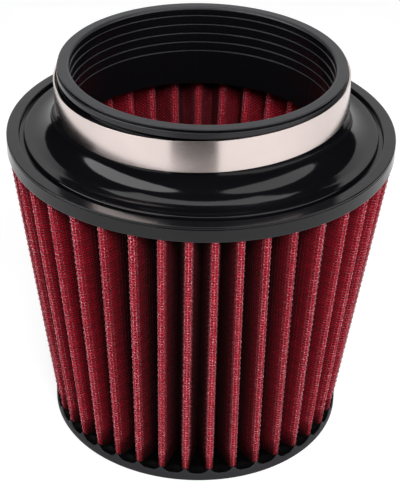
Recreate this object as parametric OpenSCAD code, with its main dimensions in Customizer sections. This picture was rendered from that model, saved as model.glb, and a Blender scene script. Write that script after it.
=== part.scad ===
// Cone air filter with a clamp-on neck. It stands on its base cap with the neck up.
// The origin is the centre of the underside, and +Z runs up through the neck.

/* [Overall] */
// Height from the underside of the base cap to the top of the neck
total_h = 158; // [150:0.5:180]

/* [Neck] */
// Bore of the neck, which takes the intake pipe
bore_d = 102; // [96:0.5:104]
// Thickness of the neck wall at the top lip
lip_wall = 5; // [4.5:0.1:5.5]
// Height of the top lip
lip_h = 3.9; // [3.5:0.1:4.5]
// Radius of the lip's inner edge
lip_inner_round = 1.5; // [0.8:0.1:2]
// Radius of the lip's outer edges
lip_outer_round = 0.5; // [0.3:0.1:0.7]
// Depth from the top face to the fine groove round the lip
lip_line_down = 0.6; // [0.5:0.1:0.9]
// Height of the fine groove round the lip
lip_line_h = 0.8; // [0.5:0.1:1]
// Depth of the fine groove round the lip
lip_line_in = 1.2; // [0.6:0.1:1.5]
// How far the top bead stands inside the lip below it
bead_in = 0.4; // [0.2:0.1:0.6]
// Height of the relief groove under the lip
relief_h = 2; // [1.5:0.1:2.5]
// Depth of the relief groove, measured from the lip
relief_in = 1.8; // [1:0.1:2.2]
// How far the clamp seat stands inside the lip
seat_in = 0.3; // [0.1:0.1:0.6]
// Height of the neck above the flange plate
neck_h = 28.2; // [27:0.1:34]
// Radius of the flare between the neck and the flange
flare_r = 10.7; // [8:0.1:11.5]

/* [Grip rings] */
// Number of grip rings in the bore
ring_count = 5; // [3:1:6]
// Distance from one grip ring to the next
ring_pitch = 3.93; // [3:0.01:4.2]
// Distance from the top of the neck to the first grip ring
ring_first = 3.13; // [2.8:0.01:4]
// Width of a grip ring
ring_w = 0.9; // [0.5:0.1:1.4]
// Depth of a grip ring
ring_deep = 0.5; // [0.3:0.1:0.8]

/* [Flange] */
// Outside diameter of the flange
flange_d = 152; // [148:0.5:158]
// Height of the flange's side wall
plate_h = 6.3; // [5:0.1:9]
// Width of the flat ring outside the flange groove
rim_w = 4.8; // [4:0.1:6]
// Width of the flange groove
groove_w = 2; // [1:0.1:2.5]
// Depth of the flange groove
groove_deep = 2; // [1:0.1:2.5]
// Radius of the groove's and the flange's rounded edges
flange_round = 0.6; // [0.3:0.1:0.9]
// Depth from the flange's top to its parting line
parting_down = 0.8; // [0.7:0.1:1.5]
// Width of the parting line, which is also its depth
parting_w = 0.3; // [0.2:0.1:0.5]

/* [Base cap] */
// Outside diameter of the base cap
cap_d = 119.6; // [112:0.2:126]
// Height of the base cap at the pleats
cap_h = 5.3; // [5:0.1:9]
// Radius of the base cap's lower edge
cap_round = 1.5; // [0.8:0.1:2.5]
// Depth of the hollows between the pleats at the cap's edge
scoop_deep = 1.6; // [1:0.1:2.2]
// Width of the land left between two hollows at the cap's edge
scoop_land = 2.6; // [2.6:0.1:4]
// Thickness of the closed disc inside the pleats
web_t = 2.6; // [2:0.1:4]
// Depth of the recess under the closed disc
recess_deep = 1; // [0.5:0.1:2]
// Diameter of the recess under the closed disc
recess_d = 88; // [60:1:96]

/* [Pleated pack] */
// Number of pleats
pleat_count = 38; // [30:1:44]
// Depth of a fold, from the outer crest to the inner crest
fold_depth = 16; // [12:0.5:18]
// Radius of a fold at the middle of the sheet
fold_round = 0.8; // [0.75:0.05:1.2]
// Steps in the round of one fold
fold_steps = 4; // [3:1:5]
// Thickness of the cotton gauze
gauze_t = 0.9; // [0.6:0.05:1]
// Thickness of each wire screen
screen_t = 0.2; // [0.1:0.01:0.22]
// Clearance between the gauze and each screen
sheet_gap = 0.05; // [0.02:0.01:0.06]
// How far the crests stand inside the edge of each cap
crest_in = 0.5; // [0.3:0.1:2]
// Angle of the first crest round the base cap
first_crest = -92.5; // [-100:0.5:-80]
// How far the upper crests are drawn towards the front, in degrees
bunch = 5; // [0:0.5:6]
// How much more the right side is drawn than the left, in degrees
bunch_skew = 2; // [0:0.5:3]
// Angle either side of the front over which the crests are bunched
bunch_reach = 35; // [30:1:60]

/* [Clamp band] */
// Width of the clamp band
band_w = 12.7; // [12:0.1:13.5]
// Thickness of the clamp band
band_t = 0.65; // [0.5:0.05:0.8]
// Clearance between the lip and the loose clamp band
band_gap = 0.45; // [0.4:0.05:1]
// Distance from the top of the neck down to the band at the front
band_drop = 4.1; // [4:0.1:6]
// Tilt of the loose band, its left side down
band_tilt = 2; // [0:0.1:2.2]
// How far the loose band has slipped to the left
band_slip = 0.1; // [0:0.05:0.15]
// Angle from the screw to the band's inner end, under the tail
inner_end = 12; // [10:1:14]
// Angle from the inner end to the end of the tail's step
end_gap = 2; // [1:0.5:5]
// Angle over which the band steps out to become the tail
step_span = 46; // [40:1:60]
// Angle from the screw to the end of the tail
tail_end = 30; // [20:1:40]
// Length of the tail's slots across the band
slot_l = 8.6; // [7:0.1:9.5]
// Width of the tail's slots along the band
slot_w = 1.6; // [1.5:0.05:1.8]
// Lean of the slots across the band
slot_lean = 5; // [0:0.5:6]
// Number of slots on the band's side of the screw
slots_before = 15; // [8:1:18]
// Number of slots between the screw and the tail's end
slots_after = 9; // [4:1:9]

/* [Clamp screw] */
// Outside radius of the worm
worm_r = 3.95; // [3.8:0.05:4.3]
// Depth of the worm's thread
thread_deep = 0.85; // [0.6:0.05:1]
// Pitch of the worm, which is also the pitch of the slots
thread_pitch = 3; // [2.8:0.1:3.4]
// Width of the thread at its crest
thread_crest = 0.7; // [0.5:0.05:0.8]
// Number of turns of thread
thread_turns = 5; // [3:2:5]
// Radius of the screw's journals
journal_r = 2.4; // [2:0.1:2.8]
// Running clearance round the worm and its journals
run_gap = 0.06; // [0.03:0.01:0.1]
// Width across the flats of the screw's head
head_af = 7; // [6:0.1:7.1]
// Height of the screw's head
head_h = 4.6; // [3:0.1:6]
// Thickness of the collar under the head
collar_h = 1.2; // [1.1:0.1:2]
// Width of the screwdriver slot
driver_w = 1.2; // [0.8:0.1:1.6]
// Depth of the screwdriver slot
driver_deep = 1.8; // [1:0.1:2.4]

/* [Clamp housing] */
// Thickness of the housing's sheet
house_t = 0.8; // [0.6:0.05:1]
// Thickness of the housing's end walls
end_wall = 1; // [0.8:0.1:1.5]
// Thickness of the saddle between the band and its tail
saddle_t = 0.7; // [0.5:0.05:0.9]
// Clearance round the tail in the housing
tail_gap = 0.1; // [0.05:0.01:0.15]

/* [Hidden] */

// Direction in which the pleats are bunched, and the direction of the clamp's screw
front = -90;
back = 90;
round_fn = 180;
small_fn = 48;
// Angle of one step along the clamp's strip
strip_step = 2.5;
// Overlap that makes a cut pass right through a face
past = 1;
// Distance from the base cap's edge out to the middle of its hollows
edge_gap = 0.2;

bore_r = bore_d / 2;
lip_r = bore_r + lip_wall;
seat_r = lip_r - seat_in;
flange_r = flange_d / 2;
flange_top = total_h - neck_h;
flange_low = flange_top - plate_h;
cap_r = cap_d / 2;

pleat_pitch = 360 / pleat_count;
stack_half = gauze_t / 2 + sheet_gap + screen_t;
crest_r = fold_round + stack_half;
ring_points = 2 * pleat_count * (fold_steps + 1);

band_r = lip_r + band_gap;
band_mid_z = total_h - band_drop - band_w / 2;
tail_r = band_r + band_t + saddle_t + tail_gap;
step_from = back - inner_end - end_gap - step_span;
slot_angle = 2 * asin(thread_pitch / (2 * tail_r + band_t));
screw_y = tail_r + tail_gap + worm_r;
worm_l = thread_turns * thread_pitch - thread_crest;
worm_room = worm_l / 2 + run_gap;
house_l = 2 * (worm_room + end_wall);
house_w = band_w + 2 * (tail_gap + house_t);
dome_r = worm_r + run_gap + house_t;
foot_top = tail_r + band_t + tail_gap + house_t;

// Small helpers

function direction(a) = [cos(a), sin(a)];

function heading(v) = atan2(v[1], v[0]);

function whole_turn(a) = a - 360 * floor(a / 360);

// A quarter of waste outside a rounded corner. side gives the corner's direction in r and z.
module corner_waste(at, radius, side) {
    difference() {
        translate([at[0] - (side[0] > 0 ? radius : past), at[1] - (side[1] > 0 ? radius : past)])
            square(radius + past);
        translate([at[0] - side[0] * radius, at[1] - side[1] * radius])
            circle(r = radius, $fn = small_fn);
    }
}

// Neck and flange, one moulding

module flare_section() {
    difference() {
        translate([seat_r - past, flange_top - past])
            square([flare_r + past, flare_r + past]);
        translate([seat_r + flare_r, flange_top + flare_r])
            circle(r = flare_r, $fn = round_fn);
    }
}

module neck_solid_section() {
    translate([bore_r, flange_low])
        square([flange_r - bore_r, plate_h]);
    translate([bore_r, flange_low])
        square([seat_r - bore_r, total_h - lip_h - flange_low]);
    translate([bore_r, total_h - lip_h])
        square([lip_wall, lip_h]);
    flare_section();
}

module grip_ring_cuts() {
    for (i = [0 : ring_count - 1])
        translate([bore_r - past, total_h - ring_first - i * ring_pitch - ring_w / 2])
            square([past + ring_deep, ring_w]);
}

module lip_cuts() {
    bead_r = lip_r - bead_in;
    line_low = total_h - lip_line_down - lip_line_h;
    corner_waste([bore_r, total_h], lip_inner_round, [-1, 1]);
    translate([bead_r, line_low])
        square([bead_in + past, total_h - line_low + past]);
    translate([lip_r - lip_line_in, line_low])
        square([lip_line_in + past, lip_line_h]);
    corner_waste([bead_r, total_h], lip_outer_round, [1, 1]);
    corner_waste([lip_r, line_low], lip_outer_round, [1, 1]);
    translate([lip_r - relief_in, total_h - lip_h - relief_h])
        square([relief_in + past, relief_h]);
}

module flange_cuts() {
    groove_out = flange_r - rim_w;
    translate([groove_out - groove_w, flange_top - groove_deep])
        square([groove_w, groove_deep + past]);
    corner_waste([groove_out - groove_w, flange_top], flange_round, [1, 1]);
    corner_waste([groove_out, flange_top], flange_round, [-1, 1]);
    corner_waste([flange_r, flange_top], flange_round, [1, 1]);
    translate([flange_r - parting_w, flange_top - parting_down - parting_w])
        square([parting_w + past, parting_w]);
}

module flange_cap() {
    color([0.07, 0.07, 0.075])
        rotate_extrude($fn = round_fn)
            difference() {
                neck_solid_section();
                grip_ring_cuts();
                lip_cuts();
                flange_cuts();
            }
}

// Base cap, with a hollow between each pair of crests

// A ball at the cap's edge, whose rim spans the open fold and leaves a land at each crest.
module scoop(a) {
    half_w = PI * cap_r / pleat_count - scoop_land / 2;
    ball_r = (half_w * half_w + scoop_deep * scoop_deep) / (2 * scoop_deep);
    rotate([0, 0, a])
        translate([cap_r + edge_gap, 0, cap_h - scoop_deep + ball_r])
            sphere(r = ball_r, $fn = small_fn);
}

module cap_section() {
    pad_r = cap_r - crest_in - fold_depth - 2;
    difference() {
        square([cap_r, cap_h]);
        translate([-past, recess_deep + web_t])
            square([pad_r + past, cap_h]);
        translate([-past, -past])
            square([recess_d / 2 + past, recess_deep + past]);
        corner_waste([cap_r, 0], cap_round, [1, -1]);
    }
}

module base_cap() {
    color([0.1, 0.1, 0.105])
        difference() {
            rotate_extrude($fn = round_fn)
                cap_section();
            for (i = [0 : pleat_count - 1])
                scoop(first_crest + (i + 0.5) * pleat_pitch);
        }
}

// Pleated sheets. level 0 is the bottom of the pack and level 1 its top.

function crest_shift(a) =
    let (away = whole_turn(a - front + 180) - 180)
    let (pull = 90 * max(-1, min(1, away / bunch_reach)))
    let (fade = min(1, (180 - abs(away)) / (180 - 2 * bunch_reach)))
    -fade * (bunch * sin(pull) + bunch_skew * (1 - cos(pull)));

function crest_angle(i, level) =
    let (a = first_crest + i * pleat_pitch)
    a + level * crest_shift(a);

// Folds are counted along the sheet: even ones are outer crests and odd ones inner crests.
function is_crest(j) = j % 2 == 0;

function fold_angle(j, level) =
    is_crest(j) ? crest_angle(j / 2, level)
                : (crest_angle((j - 1) / 2, level) + crest_angle((j + 1) / 2, level)) / 2;

function pack_r(level) = (level == 1 ? flange_r : cap_r) - crest_in;

function fold_centre(j, level) =
    (is_crest(j) ? pack_r(level) - crest_r : pack_r(level) - fold_depth + crest_r)
    * direction(fold_angle(j, level));

// Heading of the straight flank that leaves fold j
function flank_heading(j, level) =
    let (run = fold_centre(j + 1, level) - fold_centre(j, level))
    let (lean = asin(2 * fold_round / norm(run)))
    heading(run) + (is_crest(j) ? lean : -lean);

// Points round fold j of a sheet face that lies off from the middle of the sheet
function fold_arc(j, level, off) =
    let (from = flank_heading(j - 1, level))
    let (to = flank_heading(j, level))
    let (turn = is_crest(j) ? whole_turn(to - from) : -whole_turn(from - to))
    let (radius = is_crest(j) ? fold_round + off : off - fold_round)
    [for (s = [0 : fold_steps])
        fold_centre(j, level) + radius * direction(from + turn * s / fold_steps - 90)];

function sheet_ring(level, off) =
    let (z = level == 1 ? flange_low : cap_h)
    [for (j = [0 : 2 * pleat_count - 1], p = fold_arc(j + 2, level, off)) [p[0], p[1], z]];

// Two triangles for each step round the ring, between the rings that start at points a and b.
// Both faces of a sheet are split from the lower left to the upper right, so that they stay parallel.
function strip_faces(a, b, from_a) =
    let (n = ring_points)
    [for (i = [0 : n - 1], half = [0, 1])
        let (k = (i + 1) % n)
        from_a ? (half == 0 ? [a + i, b + i, b + k] : [a + i, b + k, a + k])
               : (half == 0 ? [a + i, b + i, a + k] : [b + i, b + k, a + k])];

module pleated_sheet(off_in, off_out) {
    n = ring_points;
    polyhedron(
        points = concat(sheet_ring(0, off_out), sheet_ring(1, off_out),
                        sheet_ring(1, off_in), sheet_ring(0, off_in)),
        faces = concat(strip_faces(0, n, true), strip_faces(n, 2 * n, true),
                       strip_faces(2 * n, 3 * n, false), strip_faces(3 * n, 0, true)));
}

module filter_media() {
    color([0.55, 0.05, 0.09])
        pleated_sheet(-gauze_t / 2, gauze_t / 2);
}

module outer_screen() {
    color([0.68, 0.12, 0.17])
        pleated_sheet(gauze_t / 2 + sheet_gap, stack_half);
}

module inner_screen() {
    color([0.62, 0.1, 0.15])
        pleated_sheet(-stack_half, -gauze_t / 2 - sheet_gap);
}

// Worm-drive clamp, loose and a little tilted on the neck

module in_band() {
    translate([-band_slip, 0, band_mid_z])
        rotate([0, -band_tilt, 0])
            children();
}

// 0 before the step, 1 after it, and a smooth rise between them
function step_share(a) =
    let (u = max(0, min(1, (a - step_from - 360) / step_span)))
    u * u * (3 - 2 * u);

// The strip runs once round the neck and steps out over its own inner end to become the tail.
function strip_line(off) =
    let (from = back - inner_end)
    let (to = 360 + back + tail_end)
    let (steps = ceil((to - from) / strip_step))
    [for (i = [0 : steps])
        let (a = from + (to - from) * i / steps)
        (band_r + off + (tail_r - band_r) * step_share(a)) * direction(a)];

function reversed(list) = [for (i = [len(list) - 1 : -1 : 0]) list[i]];

// The slots start outside the strip's inner end, which lies under the tail.
module tail_slots() {
    reach = 2 * worm_r;
    for (k = [-slots_before : slots_after])
        let (inner = k * slot_angle < -inner_end - end_gap ? band_r - past : tail_r - tail_gap)
            rotate([0, 0, back + k * slot_angle])
                translate([inner + reach / 2, 0, 0])
                    rotate([slot_lean, 0, 0])
                        cube([reach, slot_w, slot_l], center = true);
}

module clamp_band() {
    color([0.78, 0.77, 0.76])
        in_band()
            difference() {
                linear_extrude(height = band_w, center = true)
                    polygon(concat(strip_line(0), reversed(strip_line(band_t))));
                tail_slots();
            }
}

module along_screw(from, radius, length) {
    translate([from, screw_y, 0])
        rotate([0, 90, 0])
            cylinder(r = radius, h = length, $fn = small_fn);
}

// A ring of the clamp's own height, cut out of the housing for a strip that passes through
module strip_room(low_r, high_r) {
    rotate_extrude($fn = round_fn)
        translate([low_r, -band_w / 2 - tail_gap])
            square([high_r - low_r, band_w + 2 * tail_gap]);
}

module clamp_housing() {
    foot_low = sqrt(band_r * band_r - house_l * house_l / 4) - past;
    slot_half = worm_r + run_gap;
    color([0.74, 0.74, 0.74])
        in_band()
            difference() {
                union() {
                    translate([-house_l / 2, foot_low, -house_w / 2])
                        cube([house_l, foot_top - foot_low, house_w]);
                    translate([-house_l / 2, foot_top - house_t, -dome_r])
                        cube([house_l, screw_y - foot_top + house_t, 2 * dome_r]);
                    along_screw(-house_l / 2, dome_r, house_l);
                }
                along_screw(-worm_room, slot_half, 2 * worm_room);
                along_screw(-house_l, journal_r + run_gap, 2 * house_l);
                translate([-worm_room, tail_r, -slot_half])
                    cube([2 * worm_room, screw_y - tail_r, 2 * slot_half]);
                strip_room(tail_r - tail_gap, tail_r + band_t + tail_gap);
                strip_room(band_r - past, band_r + band_t);
                cylinder(r = band_r, h = 2 * house_w, center = true, $fn = round_fn);
            }
}

module worm_section() {
    root_r = worm_r - thread_deep;
    foot_w = thread_crest + thread_deep;
    translate([0, -worm_l / 2])
        square([root_r, worm_l]);
    intersection() {
        translate([0, -worm_l / 2])
            square([worm_r, worm_l]);
        for (i = [0 : thread_turns - 1])
            translate([0, (i - (thread_turns - 1) / 2) * thread_pitch])
                polygon([[root_r - thread_deep, -foot_w / 2], [root_r, -foot_w / 2],
                         [worm_r, -thread_crest / 2], [worm_r, thread_crest / 2],
                         [root_r, foot_w / 2], [root_r - thread_deep, foot_w / 2]]);
    }
}

module clamp_screw() {
    head_from = house_l / 2 + run_gap;
    head_top = head_from + collar_h + head_h;
    color([0.8, 0.8, 0.8])
        in_band()
            difference() {
                union() {
                    translate([0, screw_y, 0])
                        rotate([0, 90, 0])
                            rotate_extrude($fn = small_fn)
                                worm_section();
                    along_screw(-house_l / 2, journal_r, house_l / 2 + head_from + past);
                    along_screw(head_from, head_af / 2, collar_h);
                    translate([head_from + collar_h, screw_y, 0])
                        rotate([0, 90, 0])
                            cylinder(r = head_af / 2 / cos(30), h = head_h, $fn = 6);
                }
                translate([head_top - driver_deep, screw_y - head_af, -driver_w / 2])
                    cube([driver_deep + past, 2 * head_af, driver_w]);
            }
}

flange_cap();
base_cap();
filter_media();
outer_screen();
inner_screen();
clamp_band();
clamp_housing();
clamp_screw();
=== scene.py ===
# %% [markdown]
# # A cone air filter, dressed for its portrait
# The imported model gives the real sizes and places. This script adds what a maker would call the
# finish: moulded black rubber, a pleated pack of dyed gauze under woven wire, and a steel clamp.
# Every length is in metres, so the helper `mm` turns workshop millimetres into metres.

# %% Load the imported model
import bpy
import bmesh
import math
import numpy as np
from mathutils import Matrix, Vector


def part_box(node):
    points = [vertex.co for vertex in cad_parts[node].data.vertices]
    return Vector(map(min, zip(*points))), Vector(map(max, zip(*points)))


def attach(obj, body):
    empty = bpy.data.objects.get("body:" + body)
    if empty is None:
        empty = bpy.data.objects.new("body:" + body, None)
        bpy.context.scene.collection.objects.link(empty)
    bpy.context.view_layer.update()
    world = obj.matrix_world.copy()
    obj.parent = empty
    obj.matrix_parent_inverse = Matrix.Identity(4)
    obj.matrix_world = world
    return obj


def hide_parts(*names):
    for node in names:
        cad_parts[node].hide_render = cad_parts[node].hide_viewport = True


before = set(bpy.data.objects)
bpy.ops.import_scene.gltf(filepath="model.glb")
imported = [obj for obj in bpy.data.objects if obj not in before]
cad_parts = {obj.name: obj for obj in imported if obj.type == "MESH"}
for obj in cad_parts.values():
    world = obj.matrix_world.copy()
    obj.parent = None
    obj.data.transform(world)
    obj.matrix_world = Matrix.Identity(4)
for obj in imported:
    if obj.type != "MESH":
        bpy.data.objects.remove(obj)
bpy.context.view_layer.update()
mm = 0.001
print("nodes:", sorted(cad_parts))

# %% [markdown]
# The driving sizes come from the model's own boxes where it has them. What a box can't tell,
# such as the number of pleats, is repeated here from the part's source.

# %% Sizes of the filter
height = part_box("flange_cap")[1].z
flange_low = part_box("flange_cap")[0].z
flange_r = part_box("flange_cap")[1].x
cap_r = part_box("base_cap")[1].x
cap_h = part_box("base_cap")[1].z
neck_h = 28.2 * mm
bore_r = 51 * mm
lip_r = 56 * mm
pleats = 38
fold_depth = 16 * mm
fold_round = 0.8 * mm
gauze_t = 0.9 * mm
stack_half = 0.7 * mm
crest_in = 0.5 * mm
half_turn = math.pi
full_turn = 2 * math.pi
print("height", round(height / mm, 1), "flange radius", round(flange_r / mm, 1))

# %% [markdown]
# ## Helpers
# Every object joins the scene the same way, and every node tree is wired by the same few
# functions. A value is either a number, which is set on the node's own socket, or a link.

# %% Helpers for objects and node trees
def add_object(name, data):
    thing = bpy.data.objects.new(name, data)
    bpy.context.scene.collection.objects.link(thing)
    return thing


def set_or_link(tree, value, socket):
    if isinstance(value, (int, float)):
        socket.default_value = value
    elif isinstance(value, tuple):
        socket.default_value = (*value, 1)
    else:
        tree.links.new(value, socket)


def math_node(tree, operation, *values, clamp=False):
    node = tree.nodes.new("ShaderNodeMath")
    node.operation = operation
    node.use_clamp = clamp
    for value, socket in zip(values, node.inputs):
        set_or_link(tree, value, socket)
    return node.outputs[0]


def noise_node(tree, vector, scale, detail, rough=0.55):
    node = tree.nodes.new("ShaderNodeTexNoise")
    node.inputs["Detail"].default_value = detail
    node.inputs["Roughness"].default_value = rough
    set_or_link(tree, scale, node.inputs["Scale"])
    tree.links.new(vector, node.inputs["Vector"])
    return node.outputs["Fac"]


def mixed_color(tree, share, a, b, blend="MIX"):
    mix = tree.nodes.new("ShaderNodeMix")
    mix.data_type = "RGBA"
    mix.blend_type = blend
    for label, value in (("Factor", share), ("A", a), ("B", b)):
        set_or_link(tree, value, mix.inputs[label])
    return mix.outputs["Result"]


def shaded_color(tree, color, shade):
    return mixed_color(tree, 1.0, color, shade, "MULTIPLY")


def object_place(tree):
    return tree.nodes.new("ShaderNodeTexCoord").outputs["Object"]


def split_xyz(tree, vector):
    node = tree.nodes.new("ShaderNodeSeparateXYZ")
    tree.links.new(vector, node.inputs[0])
    return node.outputs["X"], node.outputs["Y"], node.outputs["Z"]


def join_xyz(tree, **parts):
    node = tree.nodes.new("ShaderNodeCombineXYZ")
    for axis, value in parts.items():
        tree.links.new(value, node.inputs[axis.upper()])
    return node.outputs[0]


def bump_node(tree, height_value, strength, distance, normal=None):
    node = tree.nodes.new("ShaderNodeBump")
    set_or_link(tree, strength, node.inputs["Strength"])
    node.inputs["Distance"].default_value = distance
    tree.links.new(height_value, node.inputs["Height"])
    if normal is not None:
        tree.links.new(normal, node.inputs["Normal"])
    return node.outputs["Normal"]


def new_material(name):
    paint = bpy.data.materials.new(name)
    paint.use_nodes = True
    tree = paint.node_tree
    return paint, tree, tree.nodes["Principled BSDF"]


def new_group(name, outputs, inputs):
    """A shader node group with outputs (label, kind) and number inputs (label, value)."""
    group = bpy.data.node_groups.new(name, "ShaderNodeTree")
    for label, value in inputs:
        socket = group.interface.new_socket(label, in_out="INPUT",
                                            socket_type="NodeSocketFloat")
        socket.default_value = value
    for label, kind in outputs:
        group.interface.new_socket(label, in_out="OUTPUT", socket_type=kind)
    start = group.nodes.new("NodeGroupInput").outputs
    end = group.nodes.new("NodeGroupOutput").inputs
    return group, start, end


def place_group(tree, group, **values):
    node = tree.nodes.new("ShaderNodeGroup")
    node.node_tree = group
    for label, value in values.items():
        set_or_link(tree, value, node.inputs[label.replace("_", " ")])
    return node.outputs


# %% [markdown]
# ## The camera
# The photograph looks down at the filter from about 32 degrees, from a little to the right. A long
# lens from two thirds of a metre gives the same slight taper of the rings.

# %% Place the camera
cam_place = Vector((7.2, -558.0, 424.5)) * mm
cam_lens = 120.25
cam_sensor = 36
cam_sees_to = 50
look_down = math.radians(31.89)
look_side = math.radians(-0.584)
look_roll = math.radians(-1.705)


def add_camera():
    data = bpy.data.cameras.new("portrait_camera")
    data.lens = cam_lens
    data.sensor_fit = "VERTICAL"
    data.sensor_height = cam_sensor
    data.clip_end = cam_sees_to
    camera = add_object("portrait_camera", data)
    aim = Matrix.Rotation(math.radians(90) - look_down, 4, "X")
    pan = Matrix.Rotation(-look_side, 4, "Y")
    roll = Matrix.Rotation(-look_roll, 4, "Z")
    camera.matrix_world = Matrix.Translation(cam_place) @ aim @ pan @ roll
    bpy.context.scene.camera = camera
    return camera


camera = add_camera()
bpy.context.scene.view_settings.view_transform = "Standard"
print("camera at", [round(v, 3) for v in camera.matrix_world.translation])

# %% [markdown]
# ## Light
# The filter stands in a white room. Two tall oval boxes left and right are there for the rubber,
# which mirrors them as bright crescents, so they throw no light of their own. A soft key lamp above
# the camera lights the crests and looks down the neck, and weaker lamps fill the sides. A box
# overhead is mirrored by the foot of the flare and by the lip, and a lamp beside it only lights.
#
# A dark card stands in front: it leaves the middle of the clamp band grey, as in the photo. Dark
# walls and a dark rug round the set keep the flare black beside the crescents. Behind the set the
# walls leave a gap, which the left and right of the flat ring mirror as grey. The rug starts far
# enough out for the band to mirror bright floor.

# %% Lamps
def soft_box(name, place, size, power, target=(0, 0, height / 2), roll_deg=0,
             shape="RECTANGLE"):
    data = bpy.data.lights.new(name, "AREA")
    data.shape = shape
    data.size, data.size_y = size
    data.energy = power
    lamp = add_object(name, data)
    aim = (Vector(target) - Vector(place)).to_track_quat("-Z", "Y").to_matrix().to_4x4()
    roll = Matrix.Rotation(math.radians(roll_deg), 4, "Z")
    lamp.matrix_world = Matrix.Translation(place) @ aim @ roll
    lamp.visible_camera = False
    return lamp


left_power, right_power = 6.5, 3.2
for side, power in ((-1, left_power), (1, right_power)):
    oval = soft_box("oval_box", (side * 0.585, -0.325, 0.52), (1.12, 0.44), power,
                    roll_deg=-35 * side, shape="ELLIPSE")
    oval.visible_diffuse = False
    fill = soft_box("side_fill", (side * 0.62, -0.30, 0.35), (0.3, 0.5), 2.2)
    fill.visible_glossy = False
key = soft_box("key_box", (0.10, -0.75, 0.76), (0.35, 0.30), 7.2, target=(0, 0, 0.11))
key.visible_glossy = False
soft_box("top_box", (0, 0.10, 0.95), (0.8, 0.5), 3.4).visible_diffuse = False
soft_box("top_fill", (0, 0.15, 0.95), (0.6, 0.5), 2.5).visible_glossy = False


# %% Dark card, walls and rug
above_floor = 0.002


def dark_cloth(name, corners, faces):
    """Black felt that only reflections see."""
    mesh = bpy.data.meshes.new(name)
    mesh.from_pydata(corners, [], faces)
    cloth = add_object(name, mesh)
    felt, _, body = new_material(name)
    body.inputs["Base Color"].default_value = (0.02, 0.02, 0.02, 1)
    body.inputs["Roughness"].default_value = 1.0
    mesh.materials.append(felt)
    cloth.visible_camera = False
    cloth.visible_diffuse = False
    cloth.visible_shadow = False


def dark_card(left=-0.108, right=0.068, y=-0.30, top=0.36):
    foot = above_floor / 2
    dark_cloth("dark_card", [(left, y, foot), (right, y, foot), (right, y, top), (left, y, top)],
               [(0, 1, 2, 3)])


def dark_walls(far=1.6, top=2.4, gap_half=1.15, gap_top=1.08, gap_side=1.9, rug=0.45):
    """Walls at far with a V-topped gap behind the set, and a rug from them in to rug."""
    foot = above_floor
    ring = [(-gap_half, far), (-far, far), (-far, -far), (far, -far), (far, far), (gap_half, far)]
    corners = [(x, y, z) for z in (foot, top) for x, y in ring]
    corners += [(-gap_half, far, gap_side), (0, far, gap_top), (gap_half, far, gap_side)]
    faces = [(i, i + 1, i + 7, i + 6) for i in range(5)]
    faces += [(12, 13, 14, 11, 6), (7, 10, 9, 8)]
    for half in (rug, far):
        corners += [(-half, -half, foot), (half, -half, foot),
                    (half, half, foot), (-half, half, foot)]
    inner, outer = 15, 19
    for i in range(4):
        j = (i + 1) % 4
        faces.append((inner + i, inner + j, outer + j, outer + i))
    dark_cloth("dark_walls", corners, faces)


dark_card()
dark_walls()

# %% [markdown]
# The room itself is white to the camera and in reflections, while the light that it throws on the
# filter stays low, so that the soft boxes shape it.

# %% The white room
def seen_directly(tree):
    """1 where the camera, a reflection or glass looks at this surface, 0 for scattered light."""
    path = tree.nodes.new("ShaderNodeLightPath").outputs
    seen = math_node(tree, "ADD", path["Is Camera Ray"], path["Is Glossy Ray"])
    return math_node(tree, "ADD", seen, path["Is Transmission Ray"], clamp=True)


def light_the_room(ambient=0.07):
    world = bpy.data.worlds.new("studio")
    world.use_nodes = True
    tree = world.node_tree
    tree.nodes.clear()
    dim = tree.nodes.new("ShaderNodeBackground")
    dim.inputs["Strength"].default_value = ambient
    white = tree.nodes.new("ShaderNodeBackground")
    white.inputs["Color"].default_value = (1, 1, 1, 1)
    mix = tree.nodes.new("ShaderNodeMixShader")
    out = tree.nodes.new("ShaderNodeOutputWorld")
    tree.links.new(seen_directly(tree), mix.inputs[0])
    tree.links.new(dim.outputs[0], mix.inputs[1])
    tree.links.new(white.outputs[0], mix.inputs[2])
    tree.links.new(mix.outputs[0], out.inputs[0])
    bpy.context.scene.world = world


def add_floor(half=3.0, shade=0.35, lift=0.78):
    mesh = bpy.data.meshes.new("floor")
    mesh.from_pydata([(-half, -half, 0), (half, -half, 0), (half, half, 0), (-half, half, 0)],
                     [], [(0, 1, 2, 3)])
    floor = add_object("floor", mesh)
    paint, tree, body = new_material("pale_floor")
    body.inputs["Base Color"].default_value = (shade, shade, shade, 1)
    body.inputs["Roughness"].default_value = 1.0
    body.inputs["Specular IOR Level"].default_value = 0.0
    glow = tree.nodes.new("ShaderNodeEmission")
    gain = math_node(tree, "MULTIPLY", seen_directly(tree), lift)
    tree.links.new(gain, glow.inputs["Strength"])
    add = tree.nodes.new("ShaderNodeAddShader")
    tree.links.new(body.outputs[0], add.inputs[0])
    tree.links.new(glow.outputs[0], add.inputs[1])
    tree.links.new(add.outputs[0], tree.nodes["Material Output"].inputs["Surface"])
    mesh.materials.append(paint)


light_the_room()
add_floor()
print("room:", bpy.context.scene.world.name)
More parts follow.
